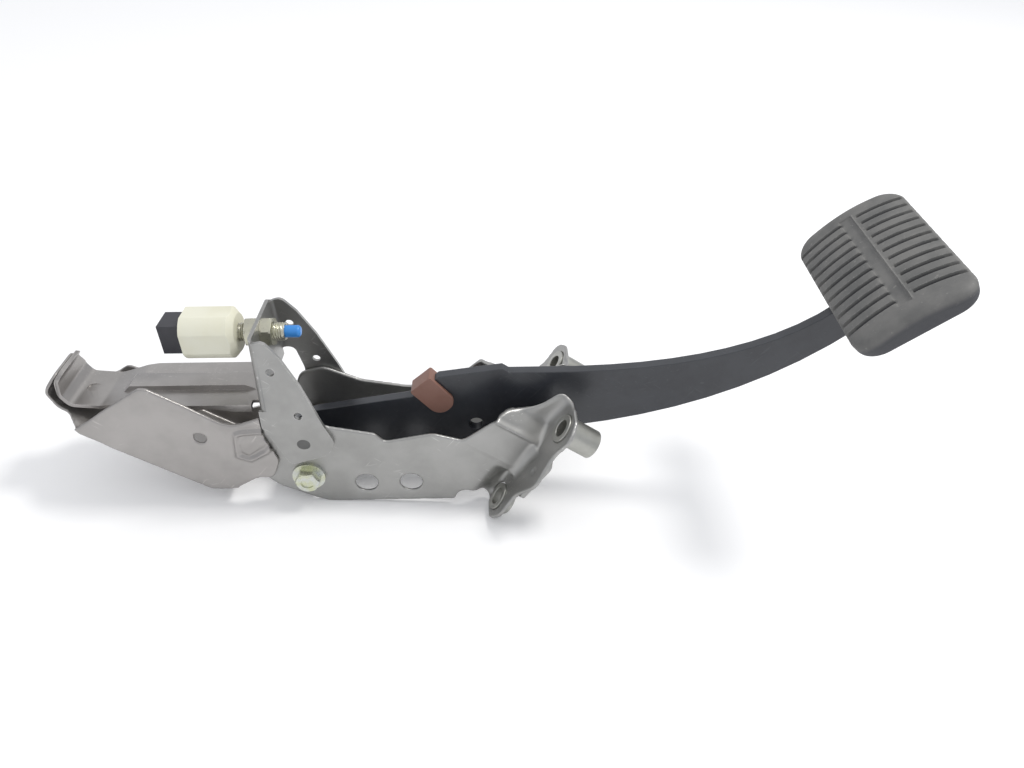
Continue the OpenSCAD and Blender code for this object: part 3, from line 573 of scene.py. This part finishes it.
def grid_faces(rows, columns, closed, first=0):
    """Quads between neighbours of a grid of rows by columns, wrapped round where the rows are closed."""
    index = first + np.arange(rows * columns).reshape(rows, columns)
    across = np.concatenate([index, index[:, :1]], 1) if closed else index
    return np.stack([across[:-1, :-1], across[:-1, 1:], across[1:, 1:], across[1:, :-1]], -1).reshape(-1, 4)


def skin(name, points, faces):
    """A mesh of millimetre points of the drawing frame, with doubles merged and normals outwards."""
    mesh = bpy.data.meshes.new(name)
    mesh.from_pydata(laid(points), [], faces.tolist())
    work = bmesh.new()
    work.from_mesh(mesh)
    bmesh.ops.remove_doubles(work, verts=work.verts, dist=MERGE_M)
    bmesh.ops.dissolve_degenerate(work, edges=work.edges, dist=1e-6)
    bmesh.ops.recalc_face_normals(work, faces=work.faces)
    work.to_mesh(mesh)
    work.free()
    return mesh


# %% [markdown]
# ## The grooved rubber pad
# The pad is one moulding: a crowned face, rounded rims, two rows of grooves with a shallow channel between
# them, and a lip that grips the steel plate from behind. A stack of cuts would give hard, even edges. Here
# the face is a height over a grid whose lines are packed where the grooves begin and end, so each groove
# has soft lips, and rings carry the same grid over the rim, round the lip and across the plate.

# %% The sizes of the pad, in millimetres
PAD_HALF = np.array([29.75, 53.0])
PAD_SHIFT = np.array([-0.75, 2.6])
PAD_CROWN, PAD_TOP, PAD_LOW, PLATE_FRONT = 78.0, 12.0, -1.0, 3.0
PAD_CORNER, END_RIM, SIDE_RIM, LIP_IN, PLATE_IN = 12.0, 1.8, 5.0, 7.0, 3.98
LOW_CROWN = 98.0
GROOVE_AT = 42.5 - 7.7 * np.arange(11)
GROOVE_HALF, GROOVE_DEEP = 1.0, 2.2
LEFT_END, CHANNEL_END, RIGHT_START, RIGHT_END = -4.4, 2.0, 4.5, 27.0
CHANNEL_LOW, CHANNEL_HIGH, CHANNEL_DEEP = -39.0, 46.0, 0.8
PAD_SLOPE, PAD_TURN, PAD_BACK = math.radians(40.0), math.radians(2.4), (303.713, 107.007)


def on_pad(points):
    """Pad points are turned in their own plane, sloped up and put at the arm's end."""
    x = points[..., 0] * math.cos(PAD_TURN) + points[..., 1] * math.sin(PAD_TURN)
    y = points[..., 1] * math.cos(PAD_TURN) - points[..., 0] * math.sin(PAD_TURN)
    z = points[..., 2]
    return np.stack([PAD_BACK[0] + x * math.cos(PAD_SLOPE) - z * math.sin(PAD_SLOPE), y,
                     PAD_BACK[1] + x * math.sin(PAD_SLOPE) + z * math.cos(PAD_SLOPE)], -1)


# %% Grid lines, packed where the face bends
lips = np.array([-0.45, -0.2, 0.05, 0.35])
rim_share = 1.0 - np.sin(np.linspace(0.0, math.pi / 2, 9))
end_steps = np.concatenate([END_RIM * rim_share, [2.4, 3.2, 4.2]])
across_lines = -PAD_SHIFT[1] + np.concatenate([
    *(at + side * (GROOVE_HALF - lips) for at in GROOVE_AT for side in (-1.0, 1.0)), GROOVE_AT,
    GROOVE_AT[:-1] - 3.85, CHANNEL_LOW + lips, CHANNEL_HIGH - lips, PAD_SHIFT[1] + PAD_HALF[1] - SIDE_RIM * rim_share,
    PAD_SHIFT[1] + SIDE_RIM * rim_share - PAD_HALF[1], [-43.5, -41.5, 45.5, 48.5]])
along_lines = -PAD_SHIFT[0] + np.concatenate([
    LEFT_END - lips, CHANNEL_END + lips, RIGHT_START + lips, PAD_SHIFT[0] + PAD_HALF[0] - end_steps,
    PAD_SHIFT[0] + end_steps - PAD_HALF[0], np.linspace(-24.0, -6.0, 12), np.linspace(-2.8, 0.8, 4),
    [2.7, 3.0, 3.6], np.linspace(6.5, 24.0, 12)])
across_lines = np.unique(np.round(across_lines, 3))
along_lines = np.unique(np.round(along_lines, 3))
PAD_X, PAD_Y = np.meshgrid(along_lines, across_lines, indexing="ij")
print("pad grid", PAD_X.shape)


# %% The outline and the face


def in_outline(x, y, margin, corner):
    """Shrink the rectangle by the margin, bend its corner squares into quarter discs, and move the outer
    rings a little to the far side, because the rubber is not centred on its plate."""
    half = PAD_HALF - margin
    x, y = x * half[0] / PAD_HALF[0], y * half[1] / PAD_HALF[1]
    s = np.clip((np.abs(x) - half[0] + corner) / corner, 0.0, 1.0)
    t = np.clip((np.abs(y) - half[1] + corner) / corner, 0.0, 1.0)
    bent_x = half[0] - corner + corner * s * np.sqrt(1.0 - t * t / 2.0)
    bent_y = half[1] - corner + corner * t * np.sqrt(1.0 - s * s / 2.0)
    shift = PAD_SHIFT * (1.0 - ramp(margin, 1.5, PLATE_IN - 0.1))
    return (np.where(s > 0, np.sign(x) * bent_x, x) + shift[0], np.where(t > 0, np.sign(y) * bent_y, y) + shift[1])


def depth_inside(x, y):
    """Distance to the rounded outline, from inside, and how far round to the near or far side it lies."""
    reach = PAD_HALF - PAD_CORNER
    dx, dy = np.abs(x - PAD_SHIFT[0]) - reach[0], np.abs(y - PAD_SHIFT[1]) - reach[1]
    outside = np.hypot(np.maximum(dx, 0.0), np.maximum(dy, 0.0))
    sideways = np.arctan2(np.maximum(dy, 0.0), np.maximum(dx, 1e-6)) / (math.pi / 2)
    return PAD_CORNER - outside - np.minimum(np.maximum(dx, dy), 0.0), sideways


def face_height(x, y):
    """A circular crown, flatter at the low end, less a quarter-round rim that is small at the ends and
    large at the sides, less the channel, the grooves and the small recesses."""
    bow = np.where(x < 0, LOW_CROWN, PAD_CROWN)
    crown = PAD_TOP - bow + np.sqrt(bow ** 2 - x * x)
    inside, sideways = depth_inside(x, y)
    radius = END_RIM + (SIDE_RIM - END_RIM) * sideways
    rim = radius - np.sqrt(np.maximum(radius ** 2 - (radius - np.clip(inside, 0.0, radius)) ** 2, 0.0))
    nearest = np.min(np.abs(y[..., None] - GROOVE_AT), -1)
    lip = 1.0 - ramp(nearest, GROOVE_HALF - 0.35, GROOVE_HALF + 0.45)
    rows = 1.0 - ramp(x, LEFT_END - 0.35, LEFT_END + 0.45)
    fade = 1.0 - 0.75 * ramp(x, RIGHT_END - 1.0, RIGHT_END + 1.2)
    rows = rows + ramp(x, RIGHT_START - 0.45, RIGHT_START + 0.35) * fade
    run = ramp(y, CHANNEL_LOW - 0.45, CHANNEL_LOW + 0.35) * (1.0 - ramp(y, CHANNEL_HIGH - 0.35, CHANNEL_HIGH + 0.45))
    trough = ramp(x, LEFT_END - 0.35, LEFT_END + 0.45) * (1.0 - ramp(x, CHANNEL_END - 0.35, CHANNEL_END + 0.45))
    bead = np.exp(-((x - 2.7) / 0.28) ** 2) * run
    notch = ramp(x, 2.9, 3.2) * (1.0 - ramp(x, RIGHT_START - 0.4, RIGHT_START)) * run * lip
    return (crown - rim - GROOVE_DEEP * lip * rows - CHANNEL_DEEP * trough * run + 0.3 * bead - 0.5 * notch)


# %% The closed pad
def ring(margin, corner, height):
    """The grid's edge, walked round once, at a margin from the outline and a height."""
    walk = ((0, slice(None, -1)), (slice(None, -1), -1), (-1, slice(None, 0, -1)), (slice(None, 0, -1), 0))
    edge = np.concatenate([np.stack([PAD_X[part], PAD_Y[part]], -1) for part in walk])
    x, y = in_outline(edge[:, 0], edge[:, 1], margin, corner)
    return np.stack([x, y, np.broadcast_to(height, x.shape)], -1)


top_x, top_y = in_outline(PAD_X, PAD_Y, 0.0, PAD_CORNER)
face = np.stack([top_x, top_y, face_height(top_x, top_y)], -1)
edge_height = face_height(ring(0, PAD_CORNER, 0)[:, 0], ring(0, PAD_CORNER, 0)[:, 1])
back_x, back_y = in_outline(PAD_X, PAD_Y, PLATE_IN, PAD_CORNER - 3.0)
plate_side = np.stack([back_x, back_y, np.full(back_x.shape, PLATE_FRONT + 0.02)], -1)
rings = [ring(0.0, PAD_CORNER, edge_height)]
rings += [ring(0.6 * t, PAD_CORNER, edge_height + t * (PAD_LOW + 1.2 - edge_height)) for t in (0.25, 0.5, 0.75, 1.0)]
rings += [ring(0.85, PAD_CORNER, PAD_LOW + 0.35), ring(1.4, PAD_CORNER, PAD_LOW),
          ring(LIP_IN - 0.5, PAD_CORNER - 2.0, PAD_LOW), ring(LIP_IN, PAD_CORNER - 3.0, PAD_LOW + 0.4),
          ring(LIP_IN, PAD_CORNER - 3.0, -0.02), ring(PLATE_IN, PAD_CORNER - 3.0, -0.02),
          ring(PLATE_IN, PAD_CORNER - 3.0, PLATE_FRONT + 0.02)]
rings = np.array(rings)
# The lip is notched for the arm at the low end.
slot = (rings[..., 0] < -10.0) & (np.abs(rings[..., 1]) < 4.6) & (rings[..., 2] < 0.1)
rings[slot, 2] = 0.06
rows, columns = PAD_X.shape
loops, around = rings.shape[:2]
pad_points = np.concatenate([face.reshape(-1, 3), rings.reshape(-1, 3), plate_side.reshape(-1, 3)])
pad_faces = np.concatenate([grid_faces(rows, columns, False), grid_faces(loops, around, True, rows * columns),
                            grid_faces(rows, columns, False, rows * columns + loops * around)[:, ::-1]])
pad = shown(skin("moulded_pad", on_pad(pad_points), pad_faces), "moulded_pad", "pad_rubber", smooth_deg=60.0)

# %% Painted shade in the hollows and on the sides
def off_pad(points):
    """The reverse of on_pad, for points of the drawing frame."""
    x, y, z = points[:, 0] - PAD_BACK[0], points[:, 1], points[:, 2] - PAD_BACK[1]
    along, out = x * math.cos(PAD_SLOPE) + z * math.sin(PAD_SLOPE), z * math.cos(PAD_SLOPE) - x * math.sin(PAD_SLOPE)
    return np.stack([along * math.cos(PAD_TURN) - y * math.sin(PAD_TURN),
                     along * math.sin(PAD_TURN) + y * math.cos(PAD_TURN), out], -1)


co = np.empty(len(pad.data.vertices) * 3)
pad.data.vertices.foreach_get("co", co)
local = off_pad(raised_up(co.reshape(-1, 3)))
bow = np.where(local[:, 0] < 0, LOW_CROWN, PAD_CROWN)
sunk = PAD_TOP - bow + np.sqrt(bow ** 2 - local[:, 0] ** 2) - local[:, 2]
away, _ = depth_inside(local[:, 0], local[:, 1])
# Painted shade: in the middle a groove's floor is darkened. Near the outline the colour darkens from the rim
# downwards, as shade on the sides.
painted_shade = np.where(away > SIDE_RIM, ramp(sunk, 0.9, 2.0), ramp(sunk, 2.0, 5.0) * 0.85)
pad.data.attributes.new("painted_shade", "FLOAT", "POINT").data.foreach_set("value", painted_shade)
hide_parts("pad_rubber")
print("pad faces", len(pad.data.polygons))

# %% [markdown]
# ## Real threads
# The switch is set by two nuts on its threaded barrel, and the pivot bolt ends in a thread. The solids
# have plain cylinders there. A thread is a radius that rises and falls along the axis and shifts by one
# pitch in each turn, so a grid of turns and steps along the axis is all that it needs.

# %% The thread on a barrel
THREAD_SIDES = 40
THREAD_PITCH = 1.25


def thread_wave(along, turn, pitch):
    """A rounded zigzag from 0 at the root to 1 at the crest, one pitch per turn."""
    phase = (along / pitch - turn / (2.0 * math.pi)) % 1.0
    return ramp(1.0 - np.abs(2.0 * phase - 1.0), 0.08, 0.92)


def threaded(profile, pitch, root_drop):
    """Turn a profile of (along, radius, thread share) about its axis: the radius is less by the root's
    drop where the wave is low, in proportion to the share."""
    profile = np.asarray(profile, float)
    turn = np.arange(THREAD_SIDES) * 2.0 * math.pi / THREAD_SIDES
    along = np.broadcast_to(profile[:, :1], (len(profile), THREAD_SIDES))
    radius = profile[:, 1:2] - root_drop * profile[:, 2:3] * (1.0 - thread_wave(along, turn[None, :], pitch))
    points = np.stack([along, radius * np.cos(turn), radius * np.sin(turn)], -1)
    return points.reshape(-1, 3), grid_faces(len(profile), THREAD_SIDES, True)


# %% The switch barrel
BARREL_BACK, BARREL_FRONT, SWITCH_UP, BARREL_R, BORE_R = -29.0, -5.0, 78.0, 4.98, 3.31
turns = np.arange(BARREL_BACK + 0.1, BARREL_FRONT - 0.9, 0.2)
barrel_profile = [(BARREL_BACK, 0.0, 0.0), (BARREL_BACK, BARREL_R - 0.4, 0.0), *((t, BARREL_R, 1.0) for t in turns),
                  (BARREL_FRONT - 0.5, BARREL_R - 0.25, 0.5), (BARREL_FRONT, BARREL_R - 0.6, 0.0),
                  (BARREL_FRONT, BORE_R + 0.2, 0.0), (BARREL_FRONT - 0.2, BORE_R, 0.0),
                  (BARREL_BACK + 0.5, BORE_R, 0.0), (BARREL_BACK + 0.5, 0.0, 0.0)]
points, faces = threaded(barrel_profile, THREAD_PITCH, 0.6)
points = points + (0.0, 0.0, SWITCH_UP)
barrel = shown(skin("threaded_barrel", points, faces), "threaded_barrel", "switch_barrel", smooth_deg=50.0)
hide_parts("switch_barrel")

# %% The thread on the end of the pivot bolt
BOLT_THREAD_FROM, BOLT_END, BOLT_R = 33.2, 36.3, 4.22
turns = np.arange(BOLT_THREAD_FROM + 0.2, BOLT_END - 0.5, 0.15)
bolt_profile = [(BOLT_THREAD_FROM, 0.0, 0.0), (BOLT_THREAD_FROM, BOLT_R - 0.3, 0.0),
                *((t, BOLT_R, 1.0) for t in turns), (BOLT_END - 0.3, BOLT_R - 0.1, 1.0),
                (BOLT_END + 0.05, BOLT_R - 0.7, 0.0), (BOLT_END + 0.05, 0.0, 0.0)]
points, faces = threaded(bolt_profile, THREAD_PITCH, 0.5)
bolt_thread = shown(skin("bolt_thread", points[:, [1, 0, 2]], faces), "bolt_thread", "pivot_bolt", smooth_deg=50.0)
print("thread faces", len(barrel.data.polygons), len(bolt_thread.data.polygons))

# %% [markdown]
# ## Small things on the bracket
# A spot weld holds each leg of the switch bracket, and a tongue joins the near wall to the side plate
# under the leg. Each is a low cushion: a disc or rounded rectangle whose height falls off towards its
# edge, so it sits on its carrier without a gap.

# %% Low cushions
CUSHION_RINGS, CUSHION_SIDES = 9, 48


def cushion(name, like, half_x, half_z, corner, height, place, turn=0.0, power=4.0, across=-1.0, material=None):
    """A rounded rectangle on the plane of constant y. Its rim follows a superellipse, and the height over
    it is 1 - r^power, so the top is flat and the edge falls to the plane."""
    angles = np.arange(CUSHION_SIDES) * 2.0 * math.pi / CUSHION_SIDES
    ring_share, angle = np.meshgrid(np.linspace(0.0, 1.0, CUSHION_RINGS) ** 0.6, angles, indexing="ij")
    bulge = (np.abs(np.cos(angle)) ** corner + np.abs(np.sin(angle)) ** corner) ** (-1.0 / corner)
    x, z = half_x * ring_share * bulge * np.cos(angle), half_z * ring_share * bulge * np.sin(angle)
    lift = height * (1.0 - ring_share ** power)
    top = np.stack([place[0] + x * math.cos(turn) - z * math.sin(turn), place[1] + across * lift,
                    place[2] + x * math.sin(turn) + z * math.cos(turn)], -1).reshape(-1, 3)
    under = top * (1.0, 0.0, 1.0) + (0.0, place[1] - across * 0.3, 0.0)
    faces = grid_faces(CUSHION_RINGS, CUSHION_SIDES, True)
    rim = CUSHION_SIDES * (CUSHION_RINGS - 1)
    side = grid_faces(2, CUSHION_SIDES, True)
    side = np.where(side < CUSHION_SIDES, side + rim, side + rim + len(top) - CUSHION_SIDES)
    mesh = skin(name, np.concatenate([top, under]), np.concatenate([faces, faces[:, ::-1] + len(top), side]))
    return shown(mesh, name, like, material, smooth_deg=50.0)


# %% The spot welds and the tongue
LEG_OUT, WELD_X, WELD_UP = 28.3, 1.0, 24.0
weld_scale = finish("weld_scale", (0.16, 0.16, 0.155), (0.12, 0.12, 0.118), (0.45, 0.45, 0.43), 0.6, 0.5, wear=0.3)
for side_name, across in (("near", -1.0), ("far", 1.0)):
    cushion("spot_weld_" + side_name, "switch_bracket", 3.6, 3.4, 2.0, 0.25, (WELD_X, across * LEG_OUT, WELD_UP),
            across=across, material=weld_scale)
cushion("channel_tongue", "side_plate_near", 6.0, 13.0, 5.0, 0.05, (-16.5, -26.15, 27.5), turn=0.53)

# %% [markdown]
# ## A plain table and soft light
# The photograph was taken on a white table under broad light from above and behind. A wide pale floor,
# a bright sky that is darker near the horizon, and one large soft lamp give the same grey on faces that
# look at the camera and the same soft shadow in front of the part.

# %% Table and light
FLOOR_HALF = 6.0
table = bpy.data.meshes.new("table")
table.from_pydata([(-FLOOR_HALF, -FLOOR_HALF, 0), (FLOOR_HALF, -FLOOR_HALF, 0),
                   (FLOOR_HALF, FLOOR_HALF, 0), (-FLOOR_HALF, FLOOR_HALF, 0)], [], [(0, 1, 2, 3)])
floor = bpy.data.objects.new("table", table)
bpy.context.scene.collection.objects.link(floor)
floor.data.materials.append(bpy.data.materials.new("white_table"))
floor.data.materials[0].use_nodes = True
floor_shader = floor.data.materials[0].node_tree.nodes["Principled BSDF"]
floor_shader.inputs["Base Color"].default_value = (0.95, 0.95, 0.955, 1.0)
floor_shader.inputs["Roughness"].default_value = 0.6
floor_shader.inputs["Specular IOR Level"].default_value = 0.2
seen = floor.data.materials[0].node_tree
floor_shader.inputs["Emission Color"].default_value = (1.0, 1.0, 1.0, 1.0)
link(seen, math_node(seen, "MULTIPLY", seen.nodes.new("ShaderNodeLightPath").outputs["Is Camera Ray"], 0.07),
     floor_shader.inputs["Emission Strength"])


def soft_lamp(name, place_m, aim_m, size_m, watts, colour=(1.0, 1.0, 1.0)):
    lamp = bpy.data.lights.new(name, "AREA")
    lamp.shape = "SQUARE"
    lamp.size = size_m
    lamp.energy = watts
    lamp.color = colour
    holder = bpy.data.objects.new(name, lamp)
    bpy.context.scene.collection.objects.link(holder)
    holder.location = place_m
    aim = Vector(aim_m) - Vector(place_m)
    holder.rotation_euler = aim.to_track_quat("-Z", "Y").to_euler()
    return holder


soft_lamp("window", (1.0, 0.25, 1.75), (0.0, 0.0, 0.0), 0.42, 17.0, (1.0, 0.985, 0.96))

world = bpy.data.worlds.new("room")
bpy.context.scene.world = world
world.use_nodes = True
sky = world.node_tree
background = sky.nodes["Background"]
up = add(sky, "ShaderNodeSeparateXYZ")
link(sky, sky.nodes.new("ShaderNodeTexCoord").outputs["Generated"], up.inputs[0])
height = steps(sky, up.outputs["Z"], -0.1, 0.75)
link(sky, mixed(sky, height, (0.50, 0.52, 0.57), (0.97, 0.98, 1.0)), background.inputs["Color"])
background.inputs["Strength"].default_value = 0.9

scene = bpy.context.scene
scene.view_settings.view_transform = "Standard"

# %% [markdown]
# ## The camera of the photograph
# The lines along the pivot axis meet at one point, which gives the focal length and the tilt. The place
# follows from the bolt square. The camera is turned down with the bracket, so it rolls by a hair.

# %% Camera
CAMERA_AT = (105.6, -341.9, 296.5)
CAMERA_YAW = math.radians(1.3)
CAMERA_PITCH = math.radians(36.7)
LENS_MM = 27.04
forward = turned_down((math.sin(CAMERA_YAW) * math.cos(CAMERA_PITCH),
                       math.cos(CAMERA_YAW) * math.cos(CAMERA_PITCH), -math.sin(CAMERA_PITCH)))
side = turned_down((math.cos(CAMERA_YAW), -math.sin(CAMERA_YAW), 0.0))
over = np.cross(side, forward)
camera = bpy.data.objects.new("camera", bpy.data.cameras.new("camera"))
scene.collection.objects.link(camera)
camera.data.lens = LENS_MM
camera.data.sensor_width = 36.0
camera.data.clip_start = 0.01
camera.matrix_world = Matrix.Translation(laid(CAMERA_AT)) @ Matrix(
    (side, over, -forward)).transposed().to_4x4()
scene.camera = camera
